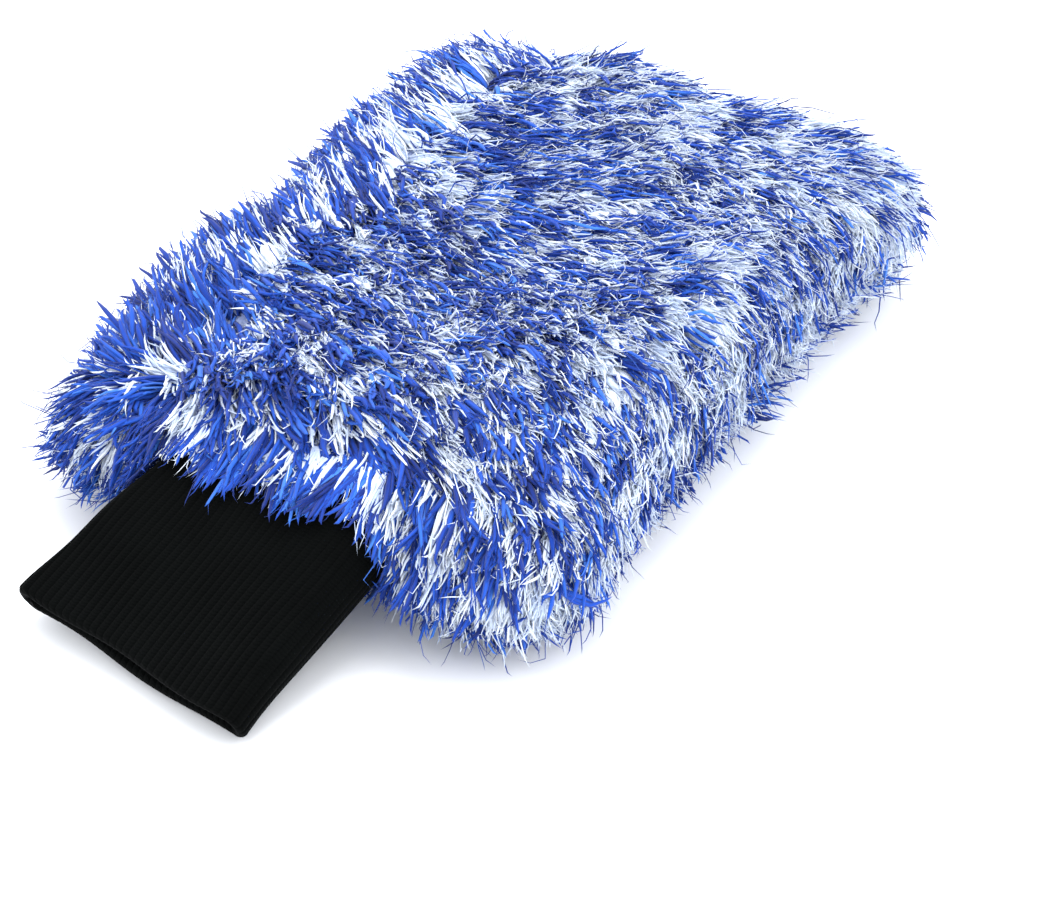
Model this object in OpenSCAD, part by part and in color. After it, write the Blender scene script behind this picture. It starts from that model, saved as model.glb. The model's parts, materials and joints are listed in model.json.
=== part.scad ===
// Plush wash mitt: two long-pile panels sewn face to face around a padded, lined pocket,
// with a double-layer rib-knit cuff sewn into the open end.
// The palm side lies on the surface z = 0. +X points to the fingertips, the cuff is at -X.
// The origin is on that surface, under the centre of the plush body.

/* [Plush body] */
// Length of the plush over the pile
body_length = 264; // [240:1:300]
// Width of the plush over the pile
body_width = 190; // [170:1:220]
// Thickness of the plush over the pile, lying flat
body_thickness = 68; // [64:1:76]
// Depth of the pile above its ground cloth
pile_depth = 15; // [12:0.5:16]

/* [Layers] */
// Thickness of the knitted ground cloth that carries the pile
backing_thickness = 1.5; // [1:0.1:2]
// Thickness of the padding
padding_thickness = 4; // [3:0.5:5]
// Thickness of the lining
lining_thickness = 1; // [0.6:0.1:1.2]

/* [Cuff] */
// Length of the cuff from the wrist seam to the folded hem
cuff_length = 74; // [60:1:85]
// Flat width of the cuff at the wrist seam
neck_width = 76; // [72:1:86]
// Flat width of the cuff at the hem
hem_width = 89; // [84:1:100]
// Height of the slack cuff tube at the wrist seam
neck_height = 26; // [24:1:28]
// Height of the slack cuff tube at the hem
hem_height = 18; // [18:1:24]
// Thickness of one layer of rib knit
rib_thickness = 1.6; // [1.2:0.1:1.8]
// Sideways lean of the cuff at the hem
hem_lean = 8; // [0:1:8]
// Angle by which the cuff lifts from rest
cuff_lift = 45; // [20:1:45]

/* [Hidden] */
$fn = 64;

layer_gap = 0.2;          // slack between loose layers
mid_z = body_thickness / 2;
core_corner = 16;         // plan corner radius of the core outline that every layer is offset from
core_x = body_length / 2 - mid_z;
core_y = body_width / 2 - mid_z;

// Insets of each layer's outer face from the pile's outer face
backing_in = pile_depth + layer_gap;
padding_in = backing_in + backing_thickness + layer_gap;
lining_in = padding_in + padding_thickness + layer_gap;
pocket_in = lining_in + lining_thickness;

seam_half = 3.5;          // half height of the sewn seam allowance
padding_clear = 4.5;         // the padding stops this far from the middle plane
thread_r = 0.35;

// The cuff bends on the wrist seam: a cross axis through the layers at the body's open end
hinge_x = -(core_x + mid_z - pile_depth - 4);
hinge_clear = 0.4;
neck_r = neck_height / 2;
hem_rest = 0.6;           // height of the hem above the surface
hem_reach = sqrt(cuff_length * cuff_length + hem_height * hem_height / 4);
cuff_droop = asin((mid_z - hem_rest) / hem_reach) - atan(hem_height / 2 / cuff_length);
mouth_half_width = neck_width / 2 + 6;
mouth_reach = 60;

function smooth(t) = t * t * (3 - 2 * t);

// ---- plush body ----------------------------------------------------------------------------

// Core outline in plan, from its middle to the centres of the layers' round sides
module core_outline() {
    square([2 * core_x, 2 * (core_y - core_corner)], center = true);
    square([2 * (core_x - core_corner), 2 * core_y], center = true);
    for (x = [-1, 1], y = [-1, 1])
        translate([x * (core_x - core_corner), y * (core_y - core_corner)]) circle(core_corner);
}

// Quarter ring between two distances from the core line, at least `clear` above the middle plane
module ring_profile(outer_r, inner_r, clear) {
    intersection() {
        difference() {
            circle(outer_r);
            circle(inner_r);
        }
        translate([0, clear]) square(outer_r + 1);
    }
}

// Upper half of a slab's wall: a flat plate, a quarter-round wall on each side and four turned corners
module half_shell(outer_r, inner_r, clear) {
    translate([0, 0, inner_r]) linear_extrude(outer_r - inner_r) core_outline();
    for (end = [0, 1]) {
        mirror([end, 0, 0]) translate([core_x, core_y - core_corner, 0]) rotate([90, 0, 0])
            linear_extrude(2 * (core_y - core_corner)) ring_profile(outer_r, inner_r, clear);
        mirror([0, end, 0]) translate([-(core_x - core_corner), core_y, 0]) rotate([90, 0, 90])
            linear_extrude(2 * (core_x - core_corner)) ring_profile(outer_r, inner_r, clear);
        for (side = [0, 1])
            mirror([end, 0, 0]) mirror([0, side, 0])
                translate([core_x - core_corner, core_y - core_corner, 0])
                    rotate_extrude(angle = 90)
                        translate([core_corner, 0]) ring_profile(outer_r, inner_r, clear);
    }
}

// Corner and end points of the straight sides drawn round the bend cylinder
function side_corner(a, b, r) = r / cos((a - b) / 2) * [cos((a + b) / 2), sin((a + b) / 2)];
function side_end(a, r, way) = r * [cos(a), sin(a)] + way * mouth_reach * [-sin(a), cos(a)];

// Room for the cuff's swing: flat sides round the bend line that open outwards between the
// lowest and the highest position of the cuff
module mouth() {
    r = neck_r + hinge_clear;
    top = 90 - (cuff_lift - cuff_droop);
    bottom = cuff_droop - 90;
    turns = [for (i = [0 : 4]) bottom + (top - bottom) * i / 4];
    points = concat([side_end(bottom, r, -1)],
                    [for (i = [0 : 3]) side_corner(turns[i], turns[i + 1], r)],
                    [side_end(top, r, 1)]);
    translate([hinge_x, mouth_half_width, mid_z]) rotate([90, 0, 0])
        linear_extrude(2 * mouth_half_width) polygon(points);
}

// One panel's share of a layer between two insets from the pile's outer face, open at the mouth:
// flip is 0 for the back of the hand and 1 for the palm
module panel_layer(flip, outer_in, inner_in, clear = 0) {
    difference() {
        translate([0, 0, mid_z]) mirror([0, 0, flip])
            half_shell(mid_z - outer_in, mid_z - inner_in, clear);
        mouth();
    }
}

module back_pile() { color("royalblue") panel_layer(0, 0, pile_depth); }
module palm_pile() { color("cornflowerblue") panel_layer(1, 0, pile_depth); }
module back_ground_cloth() { color("lavender") panel_layer(0, backing_in, backing_in + backing_thickness); }
module palm_ground_cloth() { color("lavender") panel_layer(1, backing_in, backing_in + backing_thickness); }
module back_padding() { color("lightgray") panel_layer(0, padding_in, padding_in + padding_thickness, padding_clear); }
module palm_padding() { color("lightgray") panel_layer(1, padding_in, padding_in + padding_thickness, padding_clear); }
module back_lining() { color("white") panel_layer(0, lining_in, pocket_in); }
module palm_lining() { color("white") panel_layer(1, lining_in, pocket_in); }

// ---- seams of the body ---------------------------------------------------------------------

// Outline of the body at a given distance outside the core
module plan_outline(r) {
    square([2 * (core_x + r), 2 * (core_y - core_corner)], center = true);
    square([2 * (core_x - core_corner), 2 * (core_y + r)], center = true);
    for (x = [-1, 1], y = [-1, 1])
        translate([x * (core_x - core_corner), y * (core_y - core_corner)]) circle(core_corner + r);
}

// Upright band that follows the body's sides, between two distances from the core
module side_band(outer_r, inner_r, half_height) {
    difference() {
        translate([0, 0, mid_z - half_height]) linear_extrude(2 * half_height)
            difference() {
                plan_outline(outer_r);
                plan_outline(inner_r);
            }
        mouth();
    }
}

seam_outer_r = mid_z - padding_in - 0.4;
seam_inner_r = seam_outer_r - 2 * backing_thickness + 0.6;

module side_seam_allowance() { color("ghostwhite") side_band(seam_outer_r, seam_inner_r, seam_half); }

// Thread along the body's sides, as straight runs and quarter turns, ending at the mouth
module side_thread(r, z) {
    turn = core_corner + r;
    translate([0, 0, z]) {
        for (side = [-1, 1]) {
            translate([0, side * (core_y + r), 0]) rotate([0, 90, 0])
                cylinder(r = thread_r, h = 2 * (core_x - core_corner), center = true);
            for (end = [-1, 1])
                translate([end * (core_x - core_corner), side * (core_y - core_corner), 0])
                    rotate([0, 0, end * side > 0 ? (side > 0 ? 0 : 180) : (side > 0 ? 90 : 270)])
                        rotate_extrude(angle = 90) translate([turn, 0]) circle(thread_r, $fn = 16);
        }
        translate([core_x + r, 0, 0]) rotate([90, 0, 0])
            cylinder(r = thread_r, h = 2 * (core_y - core_corner), center = true);
    }
}

module side_seam_stitching() {
    color("white")
        for (row = [-1, 1])
            side_thread(seam_inner_r - thread_r - 0.05, mid_z + row * seam_half * 0.6);
}

lining_seam_outer_r = mid_z - lining_in + 0.9;
lining_seam_inner_r = mid_z - lining_in + 0.15;

module lining_seam() { color("white") side_band(lining_seam_outer_r, lining_seam_inner_r, 1.2); }

// ---- cuff ----------------------------------------------------------------------------------

cuff_points = 40;         // points around the cuff tube
cuff_rings = 7;           // rings from the wrist seam to the hem
fold_rings = 3;           // rings around the folded hem
fold_gap = 0.3;           // slack between the two layers of rib
double_layer = 2 * rib_thickness + fold_gap;

// Half width and half height of the tube at distance s from the bend line
function cuff_half_width(s) = (neck_width + (hem_width - neck_width) * smooth(s / cuff_length)) / 2;
function cuff_half_height(s) = (neck_height + (hem_height - neck_height) * smooth(s / cuff_length)) / 2;

// Sideways lean at distance s
function cuff_lean(s) = hem_lean * smooth(s / cuff_length);

// Point of the flattened tube at distance s, angle a and depth in from its outer face:
// straight top and bottom joined by half circles
function cuff_point(s, a, depth) =
    let (h = cuff_half_height(s), flat = cuff_half_width(s) - h, r = h - depth)
    [-s, cuff_lean(s) + flat * max(-1, min(1, 1.8 * cos(a))) + r * cos(a), r * sin(a)];

// Closed surface swept once round the tube from a closed profile of [s, depth] pairs
module cuff_sweep(profile) {
    n = len(profile);
    vertices = [for (i = [0 : cuff_points - 1], p = profile) cuff_point(p[0], 360 * i / cuff_points, p[1])];
    sides = [for (i = [0 : cuff_points - 1], j = [0 : n - 1])
        let (k = (i + 1) % cuff_points, m = (j + 1) % n) [i * n + j, i * n + m, k * n + m, k * n + j]];
    polyhedron(vertices, sides, convexity = 6);
}

// Puts the cuff's own frame, with the tube along -X from the bend line, into its rest place
module cuff_place() {
    translate([hinge_x, 0, mid_z]) rotate([0, -cuff_droop, 0]) children();
}

// One piece of rib tube turned back on itself at the hem
module rib_cuff() {
    start = 0.3;
    turn = double_layer / 2;
    straight = cuff_length - turn;
    runs = [for (i = [0 : cuff_rings - 1]) start + (straight - start) * i / (cuff_rings - 1)];
    back = [for (i = [cuff_rings - 1 : -1 : 0]) runs[i]];
    outer_turn = [for (i = [1 : fold_rings]) let (a = 180 * i / (fold_rings + 1))
        [straight + turn * sin(a), turn - turn * cos(a)]];
    inner_turn = [for (i = [fold_rings : -1 : 1]) let (a = 180 * i / (fold_rings + 1))
        [straight + fold_gap / 2 * sin(a), turn - fold_gap / 2 * cos(a)]];
    profile = concat([for (s = runs) [s, 0]], outer_turn, [for (s = back) [s, double_layer]],
                     [for (s = runs) [s, double_layer - rib_thickness]], inner_turn,
                     [for (s = back) [s, rib_thickness]]);
    color([0.06, 0.06, 0.07]) cuff_place() cuff_sweep(profile);
}

// Ridge along the inside of the cuff where the rib tube is closed
module cuff_closing_seam() {
    start = 2;
    end = cuff_length - 6;
    rings = 8;
    edge = neck_width / 2 - double_layer - 0.6;
    ridge = 1.1;
    runs = [for (i = [0 : rings]) start + (end - start) * i / rings];
    spread = [for (s = runs) cuff_half_width(s) - neck_width / 2 + cuff_lean(s)];
    outline = concat([for (i = [0 : rings]) [-runs[i], edge + spread[i]]],
                     [for (i = [rings : -1 : 0]) [-runs[i], edge + spread[i] - ridge]]);
    color([0.05, 0.05, 0.06]) cuff_place()
        translate([0, 0, -1.5]) linear_extrude(3) polygon(outline);
}

// Flattened ring of the wrist seam, from s = -end to s = -start, between two depths of the neck
module stadium(half_width, half_height) {
    square([2 * (half_width - half_height), 2 * half_height], center = true);
    for (side = [-1, 1]) translate([side * (half_width - half_height), 0]) circle(half_height);
}

module wrist_ring(start, end, outer_depth, inner_depth) {
    translate([start, 0, 0]) rotate([90, 0, 90]) linear_extrude(end - start)
        difference() {
            stadium(neck_width / 2 - outer_depth, neck_r - outer_depth);
            stadium(neck_width / 2 - inner_depth, neck_r - inner_depth);
        }
}

wrist_start = 0.1;
wrist_end = 4.6;
wrist_depth = 1.3;        // the ring is this much smaller than the neck, to turn inside the mouth
wrist_thickness = 2;
elastic_thickness = 1;

module wrist_seam_allowance() {
    color([0.08, 0.08, 0.09]) cuff_place()
        wrist_ring(wrist_start, wrist_end, wrist_depth, wrist_depth + wrist_thickness);
}

module wrist_elastic() {
    outer = wrist_depth + wrist_thickness + 0.15;
    color("dimgray") cuff_place() wrist_ring(wrist_start, wrist_end, outer, outer + elastic_thickness);
}

// Thread loop round the flattened neck at a given depth
module neck_thread(depth) {
    r = neck_r - depth;
    flat = neck_width / 2 - neck_r;
    for (side = [-1, 1]) {
        translate([0, 0, side * r]) rotate([90, 0, 0])
            cylinder(r = thread_r, h = 2 * flat, center = true);
        translate([0, side * flat, 0]) rotate([90, 0, 90]) rotate([0, 0, side > 0 ? -90 : 90])
            rotate_extrude(angle = 180) translate([r, 0]) circle(thread_r, $fn = 16);
    }
}

module wrist_stitching() {
    color("white") cuff_place()
        for (depth = [wrist_depth + 0.6, wrist_depth + 1.6])
            translate([wrist_end + thread_r + 0.05, 0, 0]) neck_thread(depth);
}

back_pile();
palm_pile();
back_ground_cloth();
palm_ground_cloth();
back_padding();
palm_padding();
back_lining();
palm_lining();
side_seam_allowance();
side_seam_stitching();
lining_seam();
rib_cuff();
cuff_closing_seam();
wrist_seam_allowance();
wrist_elastic();
wrist_stitching();
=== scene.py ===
import json
import math

import bpy
import numpy as np
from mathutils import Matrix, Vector
from mathutils.kdtree import KDTree


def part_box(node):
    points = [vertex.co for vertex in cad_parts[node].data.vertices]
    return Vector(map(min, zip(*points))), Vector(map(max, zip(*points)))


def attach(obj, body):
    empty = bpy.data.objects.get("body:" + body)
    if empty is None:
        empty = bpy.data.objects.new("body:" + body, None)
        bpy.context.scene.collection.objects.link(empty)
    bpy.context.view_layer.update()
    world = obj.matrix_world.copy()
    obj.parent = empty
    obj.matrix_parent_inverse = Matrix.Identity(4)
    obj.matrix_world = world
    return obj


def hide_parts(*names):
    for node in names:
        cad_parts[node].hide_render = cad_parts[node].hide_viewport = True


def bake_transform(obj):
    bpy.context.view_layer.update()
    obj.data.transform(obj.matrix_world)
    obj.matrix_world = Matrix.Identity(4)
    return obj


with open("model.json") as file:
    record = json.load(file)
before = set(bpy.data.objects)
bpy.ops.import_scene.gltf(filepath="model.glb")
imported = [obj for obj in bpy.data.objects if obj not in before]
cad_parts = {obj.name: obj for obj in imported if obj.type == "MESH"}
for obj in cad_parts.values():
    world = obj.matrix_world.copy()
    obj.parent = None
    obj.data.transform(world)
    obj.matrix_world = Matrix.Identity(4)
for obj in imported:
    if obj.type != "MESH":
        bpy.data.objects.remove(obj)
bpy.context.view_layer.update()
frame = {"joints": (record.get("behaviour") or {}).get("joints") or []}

# ---- sizes that follow the CAD, in metres --------------------------------------------------

_, pile_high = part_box("back_pile")
MID_Z = pile_high[2] / 2  # height of the mitt's middle plane
CORE_X, CORE_Y = pile_high[0] - MID_Z, pile_high[1] - MID_Z  # outline that every layer is offset from
CORE_CORNER = 0.007
CLOTH_R, PADDING_R, LINING_R = 0.0188, 0.0171, 0.0129  # distance of each layer's outer face from it
CLOTH_THICK, PADDING_THICK, LINING_THICK = 0.0015, 0.004, 0.001
SEAM_R, SEAM_THICK, SEAM_HALF = 0.0167, 0.0024, 0.0035
LINING_SEAM_R, LINING_SEAM_HALF = 0.0138, 0.0012
CELL = 0.005  # mesh cell of the layers
MOUTH_HALF = 0.046  # half width of the wrist opening in the layers

HINGE = np.array(frame["joints"][0]["pos_m"])
NECK_WIDTH, HEM_WIDTH = 0.076, 0.084
NECK_HEIGHT, HEM_HEIGHT = 0.026, 0.018
CUFF_LENGTH, HEM_LEAN, HEM_REST = 0.074, 0.013, 0.0006
HEM_REACH = math.hypot(CUFF_LENGTH, HEM_HEIGHT / 2)
CUFF_DROOP = math.asin((MID_Z - HEM_REST) / HEM_REACH) - math.atan(HEM_HEIGHT / 2 / CUFF_LENGTH)
DOUBLE_RIB = 0.0035  # thickness of the cuff's two layers
NECK_X = HINGE[0] - 0.001  # where the rim of the ground cloth meets the cuff
HEM_SLACK = 0.0136  # height of the hem as the tube lies, its top sunk towards its underside
HEM_SKEW = 0.09  # the hem is cut a little askew, longer on the -Y side
WALES = 72  # ribs round the cuff
WRIST_X, WRIST_Y = -0.102, 0.050  # locks rooted past WRIST_X and within WRIST_Y hang over the cuff

UV = "OFBake"  # the UV map that the export bakes on, so a piece's own layout is kept
BANDS = 16  # shades side by side in the layout of the strands


# ---- small maths ---------------------------------------------------------------------------


def unit(v):
    return v / np.maximum(np.linalg.norm(v, axis=-1, keepdims=True), 1e-12)


def smooth(t):
    t = np.clip(t, 0, 1)
    return t * t * (3 - 2 * t)


def ramp(x, low, high):
    """0 below low, 1 above high, smooth between."""
    return smooth((x - low) / (high - low))


class Waves:
    """Smooth random field, from about -1 to 1, that repeats over roughly `size` metres."""

    def __init__(self, size, seed, count=7):
        rng = np.random.default_rng(seed)
        self.k = unit(rng.normal(size=(count, 3))) * rng.uniform(0.6, 1.5, (count, 1)) * 2 * math.pi / size
        self.phase = rng.uniform(0, 2 * math.pi, count)

    def __call__(self, p):
        return np.cos(p @ self.k.T + self.phase).sum(-1) / math.sqrt(len(self.phase) * 0.8)


# ---- meshes --------------------------------------------------------------------------------


def link(name, me):
    ob = bpy.data.objects.new(name, me)
    bpy.context.scene.collection.objects.link(ob)
    return ob


def quad_mesh(name, vertices, faces, uv=None):
    """A smooth mesh object from quads; uv holds one (u, v) for each face corner."""
    used, faces = np.unique(faces, return_inverse=True)
    me = bpy.data.meshes.new(name)
    me.from_pydata(vertices[used].tolist(), [], faces.reshape(-1, 4).tolist())
    me.polygons.foreach_set("use_smooth", np.ones(len(me.polygons), bool))
    if uv is not None:
        me.uv_layers.new(name=UV).data.foreach_set("uv", uv.astype(np.float32).ravel())
    me.update()
    return link(name, me)


def triangle_mesh(name, vertices, triangles, uv):
    """A smooth mesh object from triangles; uv holds one (u, v) for each triangle corner."""
    me = bpy.data.meshes.new(name)
    me.vertices.add(len(vertices))
    me.vertices.foreach_set("co", vertices.astype(np.float32).ravel())
    me.loops.add(3 * len(triangles))
    me.loops.foreach_set("vertex_index", triangles.astype(np.int32).ravel())
    me.polygons.add(len(triangles))
    me.polygons.foreach_set("loop_start", np.arange(0, 3 * len(triangles), 3, dtype=np.int32))
    me.update(calc_edges=True)
    me.polygons.foreach_set("use_smooth", np.ones(len(triangles), bool))
    me.uv_layers.new(name=UV).data.foreach_set("uv", uv.astype(np.float32).ravel())
    me.update()
    return link(name, me)


def tube_layout(points, corners):
    """Triangles of one closed tapering tube, with their places around and along it."""
    triangles, around, along = [], [], []
    for j in range(points - 2):
        for k in range(corners):
            m = (k + 1) % corners
            a, b, c, d = corners * j + k, corners * j + m, corners * (j + 1) + m, corners * (j + 1) + k
            triangles += [(a, b, c), (a, c, d)]
            around += [(k, k + 1, k + 1), (k, k + 1, k)]
            along += [(j, j, j + 1), (j, j + 1, j + 1)]
    last, tip = corners * (points - 2), corners * (points - 1)
    for k in range(corners):
        triangles.append((last + k, last + (k + 1) % corners, tip))
        around.append((k, k + 1, k + 0.5))
        along.append((points - 2, points - 2, points - 1))
    for k in range(1, corners - 1):
        triangles.append((0, k + 1, k))
        around.append((0, k + 1, k))
        along.append((0, 0, 0))
    return np.array(triangles), np.array(around) / corners, np.array(along) / (points - 1)


def tubes(path, half_width, half_thick, taper, corners, facing, rough, band, rng):
    """Closed tapering tubes round many paths at once, flat towards `facing`: (vertices, triangles, uv)."""
    count, points, _ = path.shape
    way = unit(np.gradient(path, axis=1))
    side = unit(np.cross(facing[:, None, :], way))[:, :, None, :]
    other = np.cross(way, side[:, :, 0])[:, :, None, :]
    angle = 2 * math.pi * np.arange(corners) / corners
    swell = taper[None, :, None] * (1 + rough * rng.normal(size=(count, points, corners)))
    wide = (np.cos(angle) * swell * half_width[:, None, None])[..., None]
    thick = (np.sin(angle) * swell * half_thick[:, None, None])[..., None]
    ring = path[:, :, None, :] + side * wide + other * thick
    vertices = np.concatenate([ring[:, :-1].reshape(count, -1, 3), path[:, -1:]], 1)
    triangles, around, along = tube_layout(points, corners)
    faces = np.arange(count)[:, None, None] * vertices.shape[1] + triangles[None]
    u = (band[:, None, None] + 0.06 + 0.88 * around[None]) / BANDS
    v = np.broadcast_to(0.01 + 0.98 * along[None], u.shape)
    return vertices.reshape(-1, 3), faces.reshape(-1, 3), np.stack([u, v], -1).reshape(-1, 2)


def joined(parts):
    """Several (vertices, triangles, uv) as one."""
    start, faces = 0, []
    for vertices, triangles, _ in parts:
        faces.append(triangles + start)
        start += len(vertices)
    return np.concatenate([p[0] for p in parts]), np.concatenate(faces), np.concatenate([p[2] for p in parts])


# ---- materials -----------------------------------------------------------------------------


def linear(r, g, b):
    """A display colour, 0 to 255, as the linear values a shader takes."""
    c = np.array([r, g, b]) / 255
    return (*np.where(c <= 0.04045, c / 12.92, ((c + 0.055) / 1.055) ** 2.4), 1.0)


class Shader:
    """A material and short ways to wire its nodes; each method gives back an output socket."""

    def __init__(self, name, roughness, sheen, specular):
        self.material = bpy.data.materials.new(name)
        self.material.use_nodes = True
        self.tree = self.material.node_tree
        self.surface = self.tree.nodes["Principled BSDF"].inputs
        self.surface["Roughness"].default_value = roughness
        self.surface["Sheen Weight"].default_value = sheen
        self.surface["Sheen Roughness"].default_value = 0.5
        self.surface["Specular IOR Level"].default_value = specular

    def node(self, kind, inputs, out=0, **settings):
        n = self.tree.nodes.new("ShaderNode" + kind)
        for key, value in settings.items():
            setattr(n, key, value)
        for key, value in inputs.items():
            if isinstance(value, bpy.types.NodeSocket):
                self.tree.links.new(value, n.inputs[key])
            else:
                n.inputs[key].default_value = value
        return n.outputs[out]

    def maths(self, operation, a, b=0.0, c=0.0):
        return self.node("Math", {0: a, 1: b, 2: c}, operation=operation)

    def scaled(self, vector, by):
        """A vector or colour times a number."""
        return self.node("VectorMath", {0: vector, "Scale": by}, operation="SCALE")

    def layout(self):
        """The piece's own UV map, as (u, v)."""
        u = self.node("SeparateXYZ", {0: self.node("UVMap", {}, uv_map=UV)})
        return u, u.node.outputs[1]

    def place(self, scale):
        """Place in space at rest, times scale."""
        return self.scaled(self.node("TexCoord", {}, out=3), scale)

    def noise(self, vector, scale=1.0, detail=2.0):
        return self.node("TexNoise", {"Vector": vector, "Scale": scale, "Detail": detail})

    def spread(self, value, low, high, to_low, to_high):
        """A value from low to high, mapped to to_low to to_high."""
        return self.node("MapRange", {0: value, 1: low, 2: high, 3: to_low, 4: to_high})

    def ramp(self, value, colours):
        """Colours evenly along 0 to 1."""
        out = self.node("ValToRGB", {0: value})
        elements = out.node.color_ramp.elements
        for i, colour in enumerate(colours):
            at = i / (len(colours) - 1)
            e = elements.new(at) if 0 < i < len(colours) - 1 else elements[0 if i == 0 else -1]
            e.position, e.color = at, colour
        return out

    def finish(self, colour, height=None, distance=0.0, strength=0.0, roughness=None):
        """Wires the surface, with a bump `distance` metres deep, and gives back the material."""
        self.tree.links.new(colour, self.surface["Base Color"])
        if roughness is not None:
            self.tree.links.new(roughness, self.surface["Roughness"])
        if height is not None:
            bump = self.node("Bump", {"Height": height, "Distance": distance, "Strength": strength})
            self.tree.links.new(bump, self.surface["Normal"])
        return self.material


def pile_material(name, colours, sheen, painted_root_shade, rough):
    """Bundled fibre: one shade to a band, fine streaks along the strand, with painted shade darkening it
    towards the root.
    """
    s = Shader(name, 0.6, sheen, 0.2)
    u, v = s.layout()
    across = s.maths("MULTIPLY", u, BANDS)
    band = s.maths("DIVIDE", s.maths("FLOOR", across), BANDS - 1)

    def streaks(across_scale, along_scale, layer):
        x, y = s.maths("MULTIPLY", across, across_scale), s.maths("MULTIPLY", v, along_scale)
        return s.noise(s.node("CombineXYZ", {0: x, 1: y, 2: layer}))

    fibres, patches = streaks(14.0, 3.0, 0.0), streaks(4.0, 2.0, 7.0)
    shade = s.spread(fibres, 0.3, 0.7, 0.80, 1.1)
    shade = s.maths("MULTIPLY", shade, s.spread(patches, 0.3, 0.7, 0.86, 1.1))
    # painted shade: the strand darkens towards its root, deep in the pile
    shade = s.maths("MULTIPLY", shade, s.spread(v, 0.05, 0.5, painted_root_shade, 1.0))
    colour = s.scaled(s.ramp(band, colours), shade)
    return s.finish(colour, fibres, 0.0003, 0.7, s.spread(patches, 0.3, 0.7, *rough))


def knit_material(name, colours, wales, courses, distance):
    """Knitted loops: columns of V stitches, `wales` round the piece and `courses` along it."""
    s = Shader(name, 0.95, 0.01, 0.025)
    u, v = s.layout()
    column = s.maths("FRACT", s.maths("MULTIPLY", u, wales))
    slope = s.maths("ABSOLUTE", s.maths("SUBTRACT", column, 0.5))
    row = s.maths("MULTIPLY_ADD", v, courses, s.maths("MULTIPLY", slope, 0.9))
    loop = s.maths("ABSOLUTE", s.maths("SINE", s.maths("MULTIPLY", row, math.pi)))
    lint = s.noise(s.place(900.0), detail=3.0)
    worn = s.noise(s.place(60.0))
    height = s.maths("MULTIPLY_ADD", lint, 0.5, loop)
    tone = s.maths("MULTIPLY_ADD", loop, 0.35, s.maths("MULTIPLY", lint, 0.4))
    colour = s.scaled(s.ramp(tone, colours), s.spread(worn, 0.3, 0.7, 0.85, 1.2))
    return s.finish(colour, height, distance, 0.8, s.spread(lint, 0.3, 0.7, 0.8, 0.98))


def cloth_material(name, colours, scale, distance, sheen=0.2):
    """Close knitted or woven cloth, `scale` cells to a metre, with slow changes of tone."""
    s = Shader(name, 0.85, sheen, 1.25 * sheen)
    at = s.place(scale)
    cells = s.node("TexVoronoi", {"Vector": at, "Randomness": 0.35, "Scale": 1.0})
    slow = s.noise(s.place(scale / 30))
    fibre = s.noise(at, 3.0, 3.0)
    tone = s.maths("MULTIPLY_ADD", cells, -0.5, s.maths("MULTIPLY_ADD", slow, 0.6, 0.4))
    height = s.maths("SUBTRACT", s.maths("MULTIPLY", fibre, 0.4), cells)
    return s.finish(s.ramp(tone, colours), height, distance, 0.7, s.spread(fibre, 0.3, 0.7, 0.8, 0.95))


def wadding_material(name, colours):
    """Loose fibre wadding: tangled fine fibre with soft lumps."""
    s = Shader(name, 0.95, 0.4, 0.15)
    lumps = s.noise(s.place(160.0))
    tangle = s.node("TexNoise", {"Vector": s.place(520.0), "Detail": 5.0, "Distortion": 2.5})
    tone = s.maths("MULTIPLY_ADD", tangle, 0.6, s.maths("MULTIPLY", lumps, 0.4))
    return s.finish(s.ramp(tone, colours), tangle, 0.0006, 0.8, s.spread(lumps, 0.3, 0.7, 0.85, 1.0))


def thread_material(name, colours, gloss=0.4):
    """Twisted thread: slanting plies along each stitch."""
    s = Shader(name, 0.5, gloss / 4, gloss)
    u, v = s.layout()
    ply = s.maths("MULTIPLY_ADD", u, 2.0 * BANDS, s.maths("MULTIPLY", v, 9.0))
    twist = s.maths("ABSOLUTE", s.maths("SINE", s.maths("MULTIPLY", ply, math.pi)))
    fibre = s.noise(s.place(2500.0))
    tone = s.maths("MULTIPLY_ADD", twist, 0.6, s.maths("MULTIPLY", fibre, 0.4))
    return s.finish(s.ramp(tone, colours), twist, 0.00012, 0.8, s.spread(fibre, 0.3, 0.7, 0.42, 0.62))


def elastic_material(name, colours, cords, picks):
    """Woven elastic: rubber cords along it, crossed by fine covering yarn."""
    s = Shader(name, 0.6, 0.1, 0.35)
    u, v = s.layout()
    cord = s.maths("ABSOLUTE", s.maths("SINE", s.maths("MULTIPLY", u, math.pi * cords)))
    pick = s.maths("ABSOLUTE", s.maths("SINE", s.maths("MULTIPLY", v, math.pi * picks)))
    weave = s.maths("MULTIPLY_ADD", pick, 0.35, s.maths("MULTIPLY", cord, 0.65))
    return s.finish(s.ramp(weave, colours), weave, 0.0002, 0.8, s.spread(weave, 0.0, 1.0, 0.75, 0.5))


# ---- shape of the layers -------------------------------------------------------------------

LUMPS = Waves(0.07, 21)


def nearest_core(p):
    """Nearest point of the core outline's flat area to each point."""
    x = np.clip(np.abs(p[:, 0]), 0, CORE_X)
    y = np.clip(np.abs(p[:, 1]), 0, CORE_Y)
    cx, cy = x - (CORE_X - CORE_CORNER), y - (CORE_Y - CORE_CORNER)
    corner = (cx > 0) & (cy > 0)
    far = np.maximum(np.hypot(cx, cy), 1e-9)
    pull = np.where(corner & (far > CORE_CORNER), CORE_CORNER / far, 1.0)
    x = np.where(corner, CORE_X - CORE_CORNER + cx * pull, x)
    y = np.where(corner, CORE_Y - CORE_CORNER + cy * pull, y)
    return np.stack([x * np.sign(p[:, 0]), y * np.sign(p[:, 1]), np.full(len(p), MID_Z)], 1)


def pucker(p):
    """Where the top is drawn in beside the cuff: 1 in its middle, 0 away from it."""
    return np.exp(-((p[:, 0] + 0.088) ** 2 + (p[:, 1] - 0.040) ** 2) / 0.0004)


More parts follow.
